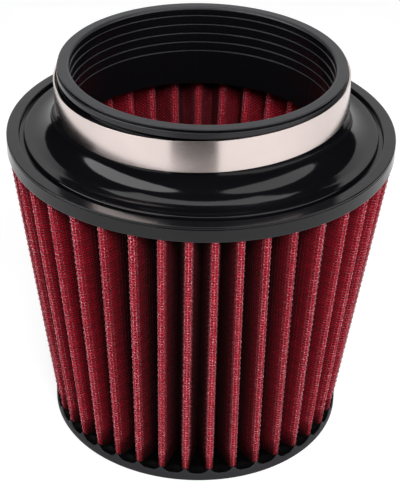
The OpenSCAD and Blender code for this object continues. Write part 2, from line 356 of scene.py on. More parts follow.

# %% [markdown]
# ## Shared finishes
# Real surfaces are never even. Four node groups hold what more than one material shares:
# a slow drift of shade and gloss with a fine grain, the orange-peel of moulded rubber, the rolling
# lines of steel strip, and painted shade down the folds. Each material sets its own values.

# %% Node group: uneven surface
def make_uneven():
    """Shade and gloss drift slowly over the surface; grain is a fine height for bump."""
    group, start, end = new_group(
        "uneven_surface",
        [("Shade", "NodeSocketFloat"), ("Gloss", "NodeSocketFloat"), ("Grain", "NodeSocketFloat")],
        [("Patch Scale", 60.0), ("Grain Scale", 3000.0), ("Shade Range", 0.2),
         ("Gloss Level", 0.3), ("Gloss Range", 0.1)])
    place = object_place(group)
    patch = noise_node(group, place, start["Patch Scale"], 4.0)
    fine = noise_node(group, place, start["Grain Scale"], 2.0)
    swing = math_node(group, "MULTIPLY_ADD", patch, 2.0, -1.0)
    shade = math_node(group, "MULTIPLY", swing, start["Shade Range"])
    shade = math_node(group, "ADD", shade, 1.0)
    gloss = math_node(group, "MULTIPLY", swing, start["Gloss Range"])
    gloss = math_node(group, "ADD", gloss, start["Gloss Level"], clamp=True)
    group.links.new(shade, end["Shade"])
    group.links.new(gloss, end["Gloss"])
    group.links.new(fine, end["Grain"])
    return group


uneven = make_uneven()
print("group", uneven.name, "has", len(uneven.nodes), "nodes")


# %% Node groups: orange-peel, rolling lines and painted fold shade
def make_peel(waves_per_m=70.0, wave_h=0.6 * mm, grain_h=0.03 * mm):
    group, start, end = new_group(
        "orange_peel", [("Normal", "NodeSocketVector")],
        [("Grain", 0.5), ("Wave Strength", 0.1), ("Grain Strength", 0.1)])
    waves = noise_node(group, object_place(group), waves_per_m, 2.0)
    wavy = bump_node(group, waves, start["Wave Strength"], wave_h)
    fine = bump_node(group, start["Grain"], start["Grain Strength"], grain_h, wavy)
    group.links.new(fine, end["Normal"])
    return group


def make_rolled(lines_per_m=2600.0, stretch=0.002, line_h=0.02 * mm):
    """Fine lines along the strip, which runs round the Z axis. Their seam lies at the back."""
    group, start, end = new_group(
        "rolling_lines", [("Lines", "NodeSocketFloat"), ("Normal", "NodeSocketVector")],
        [("Streak", 0.05)])
    x, y, z = split_xyz(group, object_place(group))
    angle = math_node(group, "ARCTAN2", x, math_node(group, "MULTIPLY", y, -1.0))
    along = join_xyz(group, x=math_node(group, "MULTIPLY", angle, stretch), z=z)
    lines = noise_node(group, along, lines_per_m, 4.0, 0.7)
    group.links.new(lines, end["Lines"])
    group.links.new(bump_node(group, lines, start["Streak"], line_h), end["Normal"])
    return group


def make_fold_shade():
    """Painted shade deep in the folds: 1 at a crest, down to Deep at the share Reach."""
    group, start, end = new_group(
        "painted_fold_shade", [("Shade", "NodeSocketFloat")], [("Deep", 0.1), ("Reach", 0.6)])
    mark = group.nodes.new("ShaderNodeAttribute")
    mark.attribute_name = "fold_depth"
    fall = group.nodes.new("ShaderNodeMapRange")
    fall.inputs["From Min"].default_value = 0.02
    fall.inputs["To Min"].default_value = 1.0
    group.links.new(mark.outputs["Fac"], fall.inputs["Value"])
    group.links.new(start["Reach"], fall.inputs["From Max"])
    group.links.new(start["Deep"], fall.inputs["To Max"])
    group.links.new(fall.outputs["Result"], end["Shade"])
    return group


peel_skin, rolled_lines, painted_fold_shade = make_peel(), make_rolled(), make_fold_shade()
print("groups:", peel_skin.name, rolled_lines.name, painted_fold_shade.name)

# %% [markdown]
# ## Moulded rubber
# The neck is poured polyurethane: nearly black and glossy, with a soft orange-peel that bends
# the reflections. The base cap's edge is the same stuff off a duller mould.

# %% Rubber materials
def rise(tree, value, start, end):
    """0 below start, 1 above end, and a smooth rise between them."""
    node = tree.nodes.new("ShaderNodeMapRange")
    node.interpolation_type = "SMOOTHSTEP"
    node.inputs["From Min"].default_value = start
    node.inputs["From Max"].default_value = end
    tree.links.new(value, node.inputs["Value"])
    return node.outputs["Result"]


def where_on_ring(tree):
    """Radius from the filter's axis and height above the floor, both in metres."""
    x, y, z = split_xyz(tree, object_place(tree))
    size = tree.nodes.new("ShaderNodeVectorMath")
    size.operation = "LENGTH"
    tree.links.new(join_xyz(tree, x=x, y=y), size.inputs[0])
    return size.outputs["Value"], z


def rubber(name, gloss_color, satin_color, gloss, satin, satin_mask, peel, ior):
    """Glossy where the mould was polished, satin where satin_mask(tree) is 1."""
    paint, tree, body = new_material(name)
    skin = place_group(tree, uneven, Patch_Scale=45.0, Grain_Scale=4200.0,
                       Shade_Range=0.25, Gloss_Level=gloss, Gloss_Range=0.04)
    mask = satin_mask(tree)
    color = mixed_color(tree, mask, gloss_color, satin_color)
    tree.links.new(shaded_color(tree, color, skin["Shade"]), body.inputs["Base Color"])
    rough = math_node(tree, "MULTIPLY", mask, satin - gloss)
    rough = math_node(tree, "ADD", rough, skin["Gloss"])
    tree.links.new(rough, body.inputs["Roughness"])
    bumps = place_group(tree, peel_skin, Grain=skin["Grain"], Wave_Strength=peel,
                        Grain_Strength=0.12)
    tree.links.new(bumps["Normal"], body.inputs["Normal"])
    body.inputs["IOR"].default_value = ior
    return paint


def lip_and_rim(tree, rim_share=0.12, wall_share=0.55, ledge_share=0.9):
    """The lip's top is satin. The flange's rim, the lip's wall and the ring ledges are partly; the
    ledges' lighter colour is a painted highlight.
    """
    r, z = where_on_ring(tree)
    lip = rise(tree, z, height - 0.5 * mm, height - 0.15 * mm)
    rim = math_node(tree, "MULTIPLY", rise(tree, r, flange_r - 4.9 * mm, flange_r - 4.5 * mm),
                    rim_share)
    wall = math_node(tree, "MULTIPLY", rise(tree, r, lip_r - 0.6 * mm, lip_r - 0.3 * mm),
                     rise(tree, z, height - 4.2 * mm, height - 3.9 * mm))
    wall = math_node(tree, "MULTIPLY", wall, wall_share)
    # Ring ledges: partly satin, and their lighter colour is a painted highlight for the bright ring
    # lines.
    ledges = math_node(tree, "SUBTRACT", rise(tree, r, bore_r + 0.03 * mm, bore_r + 0.10 * mm),
                       rise(tree, r, bore_r + 0.40 * mm, bore_r + 0.46 * mm))
    ledges = math_node(tree, "MULTIPLY", ledges, ledge_share)
    return math_node(tree, "MAXIMUM", math_node(tree, "MAXIMUM", lip, rim),
                     math_node(tree, "MAXIMUM", wall, ledges))


def cap_edge(tree):
    r, _ = where_on_ring(tree)
    return rise(tree, r, cap_r - 0.40 * mm, cap_r - 0.25 * mm)


neck_rubber = rubber("neck_rubber", (0.004, 0.004, 0.005), (0.034, 0.034, 0.037), 0.10, 0.36,
                     lip_and_rim, 0.15, 1.35)
cap_rubber = rubber("cap_rubber", (0.002, 0.002, 0.002), (0.038, 0.036, 0.040), 0.50, 0.50,
                    cap_edge, 0.1, 1.12)
print("rubber materials ready")


# %% [markdown]
# ## Turning a section into a ring
# A section is a short list of corners with a radius for each. The helper rounds the corners,
# adds a point just beside each round so that flat faces stay flat, and spins the loop.

# %% Rounded sections and a lathe
def rounded(corners, steps=3, beside=0.12 * mm, longest=0.5 * mm, small=3 * mm):
    """Corners are (r, z, radius). Returns the closed loop of points of the rounded section.

    A small round shrinks where its corner's sides are too short for it."""
    path = []
    count = len(corners)
    for i in range(count):
        here = np.array(corners[i][:2], float)
        before = np.array(corners[i - 1][:2], float) - here
        after = np.array(corners[(i + 1) % count][:2], float) - here
        run_in, run_out = np.linalg.norm(before), np.linalg.norm(after)
        before, after = before / run_in, after / run_out
        angle = math.acos(max(-1, min(1, float(before @ after))))
        radius = corners[i][2]
        if radius == 0 or angle > math.radians(179):
            path.append(here)
            continue
        cut = radius / math.tan(angle / 2)
        if radius < small:
            cut = min(cut, run_in * 0.45, run_out * 0.45)
        radius = cut * math.tan(angle / 2)
        halfway = (before + after) / np.linalg.norm(before + after)
        centre = here + halfway * radius / math.sin(angle / 2)
        first, last = here + before * cut, here + after * cut
        if run_in - cut > 2 * beside:
            path.append(first + before * beside)
        a0 = math.atan2(*(first - centre)[::-1])
        a1 = math.atan2(*(last - centre)[::-1])
        turn = (a1 - a0 + half_turn) % full_turn - half_turn
        n = max(steps, int(abs(turn) * radius / longest))
        for k in range(n + 1):
            a = a0 + turn * k / n
            path.append(centre + radius * np.array([math.cos(a), math.sin(a)]))
        if run_out - cut > 2 * beside:
            path.append(last + after * beside)
    return np.array(path)


def smooth_faces(mesh, sharp_deg):
    mesh.shade_smooth()
    mesh.set_sharp_from_angle(angle=math.radians(sharp_deg))


def add_piece(name, points, faces, paint, sharp_deg=40):
    mesh = bpy.data.meshes.new(name)
    mesh.from_pydata([tuple(p) for p in points], [], faces)
    mesh.materials.append(paint)
    mesh.update()
    piece = add_object(name, mesh)
    smooth_faces(mesh, sharp_deg)
    return piece


def face_outwards(piece, weld=0):
    """Turns every face outwards. Points closer than weld become one first."""
    work = bmesh.new()
    work.from_mesh(piece.data)
    if weld:
        bmesh.ops.remove_doubles(work, verts=work.verts, dist=weld)
    bmesh.ops.recalc_face_normals(work, faces=work.faces)
    work.to_mesh(piece.data)
    work.free()


def lathe(name, section, paint, segments):
    """Spins a closed section of (r, z) points round the Z axis."""
    count = len(section)
    angles = np.arange(segments) * full_turn / segments
    r, z = section[:, 0], section[:, 1]
    points = np.stack([np.outer(np.cos(angles), r), np.outer(np.sin(angles), r),
                       np.outer(np.ones(segments), z)], -1).reshape(-1, 3)
    faces = []
    for a in range(segments):
        b = (a + 1) % segments
        for i in range(count):
            j = (i + 1) % count
            faces.append((a * count + i, b * count + i, b * count + j, a * count + j))
    piece = add_piece(name, points, faces, paint)
    face_outwards(piece)
    print(name, "has", len(faces), "faces")
    return piece


# %% [markdown]
# ## Neck and flange
# One moulding. The section starts at the underside, runs up the flange's edge with its parting
# line, across the groove, up the flare, round the lip, and down the bore past five grip rings.

# %% Neck and flange section
flange_top = height - neck_h
seat_r = lip_r - 0.3 * mm
groove_out = flange_r - 4.8 * mm
groove_in = groove_out - 2 * mm
seat_step = 2 * mm
ring_pitch = 3.93 * mm
ring_first = 3.13 * mm
ring_half = 0.45 * mm
ring_deep = 0.5 * mm
ring_slope = 0.28 * mm
ring_count = 5
groove_deep = 2 * mm
flare_round = 10.7 * mm
line_deep = 0.3 * mm
neck_segments = 320


def grip_rings():
    corners = []
    for i in range(ring_count):
        z = height - ring_first - i * ring_pitch
        corners += [(bore_r, z + ring_half, 0.2 * mm),
                    (bore_r + ring_deep, z + ring_half, 0.1 * mm),
                    (bore_r + ring_deep, z - ring_half, 0.1 * mm),
                    (bore_r, z - ring_half - ring_slope, 0.1 * mm)]
    return corners


def neck_section():
    parting = flange_top - 0.8 * mm
    line_r = flange_r - line_deep
    under_lip = height - 3.9 * mm
    undercut_r = lip_r - 1.8 * mm
    line_top = height - 0.6 * mm
    line_low = height - 1.4 * mm
    corners = [
        (bore_r, flange_low, 0.3 * mm), (flange_r, flange_low, 0.35 * mm),
        (flange_r, parting - line_deep, 0.08 * mm), (line_r, parting - line_deep, 0.08 * mm),
        (line_r, parting, 0.08 * mm), (flange_r, parting, 0.08 * mm),
        (flange_r, flange_top, 0.6 * mm), (groove_out, flange_top, 0.5 * mm),
        (groove_out, flange_top - groove_deep, 0.4 * mm),
        (groove_in, flange_top - groove_deep, 0.4 * mm),
        (groove_in, flange_top, 0.6 * mm), (seat_r, flange_top, flare_round),
        (seat_r, under_lip - seat_step, 0.3 * mm), (undercut_r, under_lip - seat_step, 0.2 * mm),
        (undercut_r, under_lip, 0.2 * mm), (lip_r, under_lip, 0.3 * mm),
        (lip_r, line_low, 0.5 * mm), (lip_r - 1.2 * mm, line_low, 0.15 * mm),
        (lip_r - 1.2 * mm, line_top, 0.15 * mm), (lip_r - 0.4 * mm, line_top, 0.1 * mm),
        (lip_r - 0.4 * mm, height, 0.45 * mm), (bore_r, height, 1.5 * mm)]
    return rounded(corners + grip_rings())


neck = lathe("moulded_neck", neck_section(), neck_rubber, neck_segments)
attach(neck, "filter")
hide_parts("flange_cap")

# %% [markdown]
# ## The pleats as a rule
# A pleated sheet is one line folded 76 times: outer crests and inner crests in turn, joined by
# straight flanks. The fold centres follow a rule, and each face of each sheet is that line moved
# in or out. Near the front the upper crests are drawn together, as in the photograph.

# %% The folded line
first_crest = math.radians(-92.5)
front = math.radians(-90)
bunch = math.radians(5)
bunch_skew = math.radians(2)
bunch_reach = math.radians(35)
pleat_step = full_turn / pleats


def crest_shift(a):
    """How far the crest at angle a is drawn towards the front at the flange."""
    away = (a - front + half_turn) % full_turn - half_turn
    pull = half_turn / 2 * np.clip(away / bunch_reach, -1, 1)
    fade = np.minimum(1, (half_turn - abs(away)) / (half_turn - 2 * bunch_reach))
    return -fade * (bunch * np.sin(pull) + bunch_skew * (1 - np.cos(pull)))


def fold_angles(level):
    """Angles of all folds at level 0, the base, or 1, the flange: even ones are outer crests."""
    i = np.arange(-1, pleats + 2)
    base = first_crest + i * pleat_step
    crest = base + level * crest_shift(base)
    inner = (crest[:-1] + crest[1:]) / 2
    return np.stack([crest[:-1], inner], 1).reshape(-1)


def folded_line(level, off, steps):
    """Points round the whole sheet face that lies off from the sheet's middle."""
    angle = fold_angles(level)
    reach = (flange_r if level else cap_r) - crest_in
    crest_edge = fold_round + stack_half
    is_crest = np.arange(len(angle)) % 2 == 0
    r = np.where(is_crest, reach - crest_edge, reach - fold_depth + crest_edge)
    centre = np.stack([r * np.cos(angle), r * np.sin(angle)], 1)
    run = centre[1:] - centre[:-1]
    lean = np.arcsin(2 * fold_round / np.linalg.norm(run, axis=1))
    heading = np.arctan2(run[:, 1], run[:, 0]) + np.where(is_crest[:-1], lean, -lean)
    points = []
    for j in range(2, 2 + 2 * pleats):
        a, b = heading[j - 1], heading[j]
        turn = (b - a) % full_turn if is_crest[j] else -((a - b) % full_turn)
        radius = fold_round + off if is_crest[j] else off - fold_round
        swing = a + turn * np.arange(steps + 1) / steps - half_turn / 2
        points.append(centre[j] + radius * np.stack([np.cos(swing), np.sin(swing)], 1))
    return np.concatenate(points)


def sheet_grid(off, steps, levels):
    """Rows of points from the base cap to the flange, one row for each level."""
    low, high = folded_line(0, off, steps), folded_line(1, off, steps)
    z = cap_h + (flange_low - cap_h) * levels
    xy = low[None] * (1 - levels)[:, None, None] + high[None] * levels[:, None, None]
    return np.concatenate([xy, np.broadcast_to(z[:, None, None], xy.shape[:2] + (1,))], 2)


# Near the base cap the folds count as deeper, so that they come out darker.
near_cap_h = 8 * mm
near_cap_full = 1.6
near_cap_from = 0.15
# Seen from inside, the fold bottoms count as shallow again: painted light shining through the
# gauze.
inner_depths = ([0, 0.45, 0.75, 1], [0, 0.47, 0.22, 0.0])


def depth_in_fold(points, outer):
    """0 on the crests that this side shows and 1 at the bottom of its folds, for each point.

    Seen from inside, the bottoms of the folds are the outer crests; light shining through the gauze
    there is painted in by counting them as shallow again.
    Next to the base cap the folds count as deeper, which makes them darker there."""
    points = np.asarray(points)
    level = np.clip((points[:, 2] - cap_h) / (flange_low - cap_h), 0, 1)
    reach = cap_r - crest_in + (flange_r - cap_r) * level
    depth = (reach - np.hypot(points[:, 0], points[:, 1])) / fold_depth
    if outer:
        depth = np.clip(depth, 0, 1)
    else:
        depth = np.interp(1 - depth, *inner_depths)
    near_cap_dark = np.clip(near_cap_full * (1 - (points[:, 2] - cap_h) / near_cap_h), 0, 1)
    return np.clip(depth + near_cap_dark * np.clip(depth / near_cap_from, 0, 1), 0, 1)


def mark_depth(mesh, depths):
    mark = mesh.attributes.new("fold_depth", "FLOAT", "POINT")
    mark.data.foreach_set("value", np.asarray(depths, dtype=np.float32))


print("folded line:", len(folded_line(0, 0, 4)), "points at 4 steps a fold")


# %% [markdown]
# ## Gauze
# The pack's working layer is dyed cotton gauze. It is a closed sheet with an outer and an inner
# face. Its knots lean left and right in turn, row by row.

# %% Gauze material
cloth_pitch = 1.1 * mm


def knit_rows(tree, pitch, lean=1.2):
    """Short slanted knots in rows that lean left and right in turn. 1 on a knot, 0 between them."""
    x, y, _ = split_xyz(tree, tree.nodes.new("ShaderNodeUVMap").outputs["UV"])
    across = math_node(tree, "DIVIDE", x, pitch)
    up = math_node(tree, "DIVIDE", y, pitch)
    in_row = math_node(tree, "FRACT", up)
    odd = math_node(tree, "MODULO", math_node(tree, "FLOOR", up), 2.0)
    swing = math_node(tree, "MULTIPLY", math_node(tree, "SUBTRACT", odd, 0.5), in_row)
    shifted = math_node(tree, "ADD", across, math_node(tree, "MULTIPLY", swing, lean))
    in_knot = math_node(tree, "FRACT", shifted)
    wave_x = math_node(tree, "SINE", math_node(tree, "MULTIPLY", in_knot, math.pi))
    wave_y = math_node(tree, "SINE", math_node(tree, "MULTIPLY", in_row, math.pi))
    return math_node(tree, "MULTIPLY", wave_x, wave_y)


def gauze_material():
    paint, tree, body = new_material("red_gauze")
    skin = place_group(tree, uneven, Patch_Scale=160.0, Grain_Scale=2600.0,
                       Shade_Range=0.30, Gloss_Level=0.85, Gloss_Range=0.1)
    knots = knit_rows(tree, cloth_pitch)
    thread = mixed_color(tree, knots, (0.12, 0.001, 0.005), (0.80, 0.013, 0.042))
    # Painted shade: the gauze darkens from each crest down into the folds.
    folds = place_group(tree, painted_fold_shade, Deep=0.07, Reach=0.58)
    dark = math_node(tree, "MULTIPLY", skin["Shade"], folds["Shade"])
    tree.links.new(shaded_color(tree, thread, dark), body.inputs["Base Color"])
    tree.links.new(skin["Gloss"], body.inputs["Roughness"])
    knotted = bump_node(tree, knots, 0.8, 0.25 * mm)
    fuzzy = bump_node(tree, skin["Grain"], 0.6, 0.10 * mm, knotted)
    tree.links.new(fuzzy, body.inputs["Normal"])
    body.inputs["Specular IOR Level"].default_value = 0.2
    body.inputs["Sheen Weight"].default_value = 0.05
    body.inputs["Sheen Roughness"].default_value = 0.4
    body.inputs["Sheen Tint"].default_value = (1.0, 0.35, 0.4, 1)
    return paint


# %% Gauze sheet
fold_steps = 6
gauze_rows = 13


def along_line(level):
    """Distance along the sheet's middle line to each of its points, and the whole length."""
    line = folded_line(level, 0, fold_steps)
    steps = np.linalg.norm(np.diff(np.concatenate([line, line[:1]]), axis=0), axis=1)
    return np.concatenate([[0], np.cumsum(steps)])


def gauze_sheet():
    rows = gauze_rows
    levels = np.linspace(0, 1, rows)
    outer = sheet_grid(gauze_t / 2, fold_steps, levels)
    inner = sheet_grid(-gauze_t / 2, fold_steps, levels)
    n = outer.shape[1]
    points = np.concatenate([outer.reshape(-1, 3), inner.reshape(-1, 3)])
    shift = rows * n
    faces, cloth = [], []
    along = along_line(1)
    tall = flange_low - cap_h

    def add(loop, marks):
        faces.append(tuple(loop))
        cloth.extend((along[k], levels[row] * tall) for k, row in marks)

    for k in range(n):
        m = (k + 1) % n
        for row in range(rows - 1):
            a, b = row * n, (row + 1) * n
            around = [(k, row), (k + 1, row), (k + 1, row + 1), (k, row + 1)]
            add((a + k, a + m, b + m, b + k), around)
            add((shift + a + k, shift + b + k, shift + b + m, shift + a + m),
                [around[i] for i in (0, 3, 2, 1)])
        top = (rows - 1) * n
        add((top + k, top + m, shift + top + m, shift + top + k),
            [(k, rows - 1), (k + 1, rows - 1), (k + 1, rows - 1), (k, rows - 1)])
        add((k, shift + k, shift + m, m), [(k, 0), (k, 0), (k + 1, 0), (k + 1, 0)])
    piece = add_piece("gauze_pleats", points, faces, gauze_material(), 60)
    mark_depth(piece.data, np.concatenate([depth_in_fold(points[:shift], True),
                                           depth_in_fold(points[shift:], False)]))
    uv = piece.data.uv_layers.new(name="cloth")
    uv.data.foreach_set("uv", np.array(cloth, dtype=np.float32).reshape(-1))
    return piece


gauze = gauze_sheet()
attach(gauze, "filter")
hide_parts("filter_media")

# %% [markdown]
# ## Woven wire
# Each screen is woven from thin coated wire, folded together with the gauze. Wires are lines
# first: rings that follow the folds, and uprights that run from cap to cap. A Geometry Nodes
# tree then turns every line into a round wire, so the wire's thickness is one number.

# %% Geometry Nodes: lines to wires
wire_r = 0.13 * mm


def wire_tree():
    tree = bpy.data.node_groups.new("lines_to_wires", "GeometryNodeTree")
    face = tree.interface
    face.new_socket("Lines", in_out="INPUT", socket_type="NodeSocketGeometry")
    face.new_socket("Wire Radius", in_out="INPUT", socket_type="NodeSocketFloat")
    face.new_socket("Sides", in_out="INPUT", socket_type="NodeSocketInt")
    face.new_socket("Finish", in_out="INPUT", socket_type="NodeSocketMaterial")
    face.new_socket("Wires", in_out="OUTPUT", socket_type="NodeSocketGeometry")
    start, end = tree.nodes.new("NodeGroupInput"), tree.nodes.new("NodeGroupOutput")
    curve = tree.nodes.new("GeometryNodeMeshToCurve")
    ring = tree.nodes.new("GeometryNodeCurvePrimitiveCircle")
    sweep = tree.nodes.new("GeometryNodeCurveToMesh")
    smooth = tree.nodes.new("GeometryNodeSetShadeSmooth")
    real = tree.nodes.new("GeometryNodeRealizeInstances")
    finish = tree.nodes.new("GeometryNodeSetMaterial")
    sweep.inputs["Fill Caps"].default_value = True
    link = tree.links.new
    link(start.outputs["Lines"], curve.inputs[0])
    link(start.outputs["Wire Radius"], ring.inputs["Radius"])
    link(start.outputs["Sides"], ring.inputs["Resolution"])
    link(curve.outputs[0], sweep.inputs["Curve"])
    link(ring.outputs[0], sweep.inputs["Profile Curve"])
    link(sweep.outputs[0], smooth.inputs[0])
    link(smooth.outputs[0], real.inputs[0])
    link(real.outputs[0], finish.inputs["Geometry"])
    link(start.outputs["Finish"], finish.inputs["Material"])
    link(finish.outputs[0], end.inputs[0])
    return tree


def grow_wires(name, points, edges, tree, radius, sides, paint, outer):
    mesh = bpy.data.meshes.new(name + "_lines")
    mesh.from_pydata([tuple(p) for p in points], edges, [])
    mark_depth(mesh, depth_in_fold(points, outer))
    lines = add_object(name + "_lines", mesh)
    grow = lines.modifiers.new("wires", "NODES")
    grow.node_group = tree
    ids = {s.name: s.identifier for s in tree.interface.items_tree if s.in_out == "INPUT"}
    grow[ids["Wire Radius"]] = radius
    grow[ids["Sides"]] = sides
    grow[ids["Finish"]] = paint
    seen = lines.evaluated_get(bpy.context.evaluated_depsgraph_get())
    solid = bpy.data.meshes.new_from_object(seen)
    wires = add_object(name, solid)
    bpy.data.objects.remove(lines)
    solid.name = name
    print(name, "has", sum(len(p.vertices) - 2 for p in solid.polygons), "triangles")
    return wires


lines_to_wires = wire_tree()


# %% Wire material
def wire_material():
    paint, tree, body = new_material("red_wire")
    skin = place_group(tree, uneven, Patch_Scale=240.0, Grain_Scale=1500.0,
                       Shade_Range=0.3, Gloss_Level=0.36, Gloss_Range=0.15)
    # Painted light and shade: the wires keep their full colour on the crests and darken down the
    # folds.
    folds = place_group(tree, painted_fold_shade, Deep=0.0, Reach=0.20)
    # Pale pink spots from the grain: partly bare wire, partly painted glints.
    glint_and_bare = rise(tree, skin["Grain"], 0.48, 0.66)
    glint_and_worn = mixed_color(tree, glint_and_bare, (0.46, 0.075, 0.105), (0.95, 0.50, 0.56))
    coat = mixed_color(tree, folds["Shade"], (0.13, 0.020, 0.025), glint_and_worn)
    # Painted shade: a second, wider darkening down the folds.
    painted_fold_darkening = place_group(tree, painted_fold_shade, Deep=0.18, Reach=0.9)
    dark = math_node(tree, "MULTIPLY", skin["Shade"], painted_fold_darkening["Shade"])
    tree.links.new(shaded_color(tree, coat, dark), body.inputs["Base Color"])
    tree.links.new(skin["Gloss"], body.inputs["Roughness"])
    tree.links.new(bump_node(tree, skin["Grain"], 0.3, 0.05 * mm), body.inputs["Normal"])
    body.inputs["Metallic"].default_value = 0.5
    body.inputs["Specular IOR Level"].default_value = 0.2
    return paint


red_wire = wire_material()

# %% Lines of the woven screens
wire_pitch = 1.35 * mm
arc_steps = 6
flank_wires = 9
sink = 0.3 * mm


def ring_levels():
    span = flange_low - cap_h
    count = int(span / wire_pitch)
    return (np.arange(count) + 0.5) / count


def ring_lines(off):
    grid = sheet_grid(off, 4, ring_levels())
    rows, n = grid.shape[:2]
    at = np.arange(rows * n).reshape(rows, n)
    edges = np.stack([at, np.roll(at, -1, 1)], -1).reshape(-1, 2)
    return grid.reshape(-1, 3), edges.tolist()


def upright_places(outer, reach):
    """Columns of the sheet that carry an upright: woven near a seen crest, straight elsewhere."""
    woven, straight = [], []
    for fold in range(2 * pleats):
        seen = (fold % 2 == 0) == outer
        first = fold * (arc_steps + 1)
        if seen:
            woven += [(first + s, 0.0) for s in (1, 3, 5)]
        else:
            straight.append((first + arc_steps // 2, 0.0))
        for i in range(flank_wires):
            near = i < reach if seen else i >= flank_wires - reach
            (woven if near else straight).append((first + arc_steps, (i + 0.5) / flank_wires))
    return woven, straight


def columns(level, off, places):
    line = folded_line(level, off, arc_steps)
    k = np.array([p[0] for p in places])
    t = np.array([p[1] for p in places])[:, None]
    return line[k] * (1 - t) + line[(k + 1) % len(line)] * t


def column_lines(off, weave, places, levels):
    """Lines up the sheet that swing in and out by weave from one level to the next."""
    low = [columns(0, off + side * weave, places) for side in (-1, 1)]
    high = [columns(1, off + side * weave, places) for side in (-1, 1)]
    rows = len(levels)
    points, edges = [], []
    for u in range(len(places)):
        side = ((np.arange(rows) + u) % 2)[:, None]
        foot = np.where(side == 0, low[0][u], low[1][u])
        head = np.where(side == 0, high[0][u], high[1][u])
        xy = foot * (1 - levels)[:, None] + head * levels[:, None]
        z = cap_h + (flange_low - cap_h) * levels
        points.append(np.concatenate([xy, z[:, None]], 1))
        first = u * rows
        edges += [(first + i, first + i + 1) for i in range(rows - 1)]
    return np.concatenate(points), edges


def end_levels(middle_levels):
    end = sink / (flange_low - cap_h)
    return np.concatenate([[-end], middle_levels, [1 + end]])


# %% Outer and inner screens
wire_off = gauze_t / 2 + 0.10 * mm
weave_swing = 0.18 * mm
woven_out = 0.04 * mm
straight_out = 0.05 * mm


def add_screen(name, side, reach, node):
    woven, straight = upright_places(side > 0, reach)
    off = side * wire_off
    woven_off, straight_off = off + side * woven_out, off + side * straight_out
    woven_levels, straight_levels = end_levels(ring_levels()), end_levels([])
    parts = [
        (name + "_rings", ring_lines(off), 3),
        (name + "_woven", column_lines(woven_off, weave_swing, woven, woven_levels), 3),
        (name + "_straight", column_lines(straight_off, 0, straight, straight_levels), 4)]
    for part, (points, edges), sides in parts:
        wires = grow_wires(part, points, edges, lines_to_wires, wire_r, sides, red_wire, side > 0)
        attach(wires, "filter")
        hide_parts(node)


add_screen("outer_wire", 1, 3, "outer_screen")
add_screen("inner_wire", -1, 1, "inner_screen")

# %% [markdown]
# ## Base cap
# The pack's lower end is cast into a shallow dish of rubber. Between two pleats the rubber
# sinks in a small hollow, and it climbs a little at each crest, so that the cap's upper edge is
# scalloped all round.

# %% Base cap
scoop_deep = 1.6 * mm
scoop_land = 1.8 * mm
hollow_out = 0.2 * mm
cusp_h = 0.9 * mm
cusp_w = 1.3 * mm
cusp_reach = 2.2 * mm
foot_round = 1.5 * mm
web = 3.6 * mm
recess_r = 44 * mm
recess_h = 1 * mm
segments_per_pleat = 24
cap_sharp_deg = 50


def cap_top(r, a):
    """Height of the cap's upper face at radius r and angle a."""
    half_w = cap_r * pleat_step / 2 - scoop_land / 2
    ball = (half_w ** 2 + scoop_deep ** 2) / (2 * scoop_deep)
    off = (a - first_crest) % pleat_step - pleat_step / 2
    centre_r = cap_r + hollow_out
    far2 = r ** 2 + centre_r ** 2 - 2 * r * centre_r * math.cos(off)
    if far2 < ball ** 2:
        hollow = cap_h - scoop_deep + ball - math.sqrt(ball ** 2 - far2)
        if hollow < cap_h:
            return max(hollow, cap_h - 0.8 * scoop_deep)
    nearest = pleat_step / 2 - abs(off)
    cusp = math.exp(-(nearest * cap_r / cusp_w) ** 2)
    return cap_h + cusp_h * cusp * min(1, max(0, (r - cap_r + cusp_reach) / mm))


def cap_points(a):
    """The cap's section at angle a: inside floor, pad, upper face, edge, foot and recess."""
    pad = cap_r - crest_in - fold_depth - 2 * mm
    line = [(0.0, web), (pad * 0.5, web), (pad - 0.6 * mm, web), (pad, web + 0.5 * mm),
            (pad, cap_h - 0.3 * mm)]
    for r in np.linspace(pad + 0.3 * mm, cap_r - 5.4 * mm, 4):
        line.append((r, cap_h))
    for r in np.linspace(cap_r - 4.6 * mm, cap_r - 0.25 * mm, 10):
        line.append((r, cap_top(r, a)))
    edge = cap_top(cap_r, a)
    line += [(cap_r - 0.07 * mm, edge - 0.07 * mm), (cap_r, edge - 0.3 * mm),
             (cap_r, edge / 2 + 0.8 * mm)]
    for k in range(6):
        t = half_turn / 2 * k / 5
        line.append((cap_r - foot_round * (1 - math.cos(t)), foot_round * (1 - math.sin(t))))
    line += [(52 * mm, 0.0), (recess_r + 0.3 * mm, 0.0), (recess_r, 0.3 * mm),
             (recess_r - 0.1 * mm, 0.8 * mm), (recess_r - 0.4 * mm, recess_h),
             (20 * mm, recess_h), (0.0, recess_h)]
    return line


def base_cap():
    segments = pleats * segments_per_pleat
    angles = [full_turn * s / segments for s in range(segments)]
    rows = [cap_points(a) for a in angles]
    n = len(rows[0])
    points = [(r * math.cos(a), r * math.sin(a), z)
              for a, row in zip(angles, rows) for r, z in row]
    faces = []
    for s in range(segments):
        t = (s + 1) % segments
        faces += [(s * n + i, s * n + i + 1, t * n + i + 1, t * n + i) for i in range(n - 1)]
    piece = add_piece("moulded_base", points, faces, cap_rubber, cap_sharp_deg)
    face_outwards(piece, weld=0.001 * mm)
    smooth_faces(piece.data, cap_sharp_deg)
    print("base cap faces:", len(piece.data.polygons))
    return piece


base = base_cap()
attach(base, "filter")
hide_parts("base_cap")

# %% [markdown]
# ## Clamp
# The band is one strip of stainless steel that steps over its own end. Its slots engage the
# screw. The strip is drawn as a grid in angle and height whose slot cells are left open.

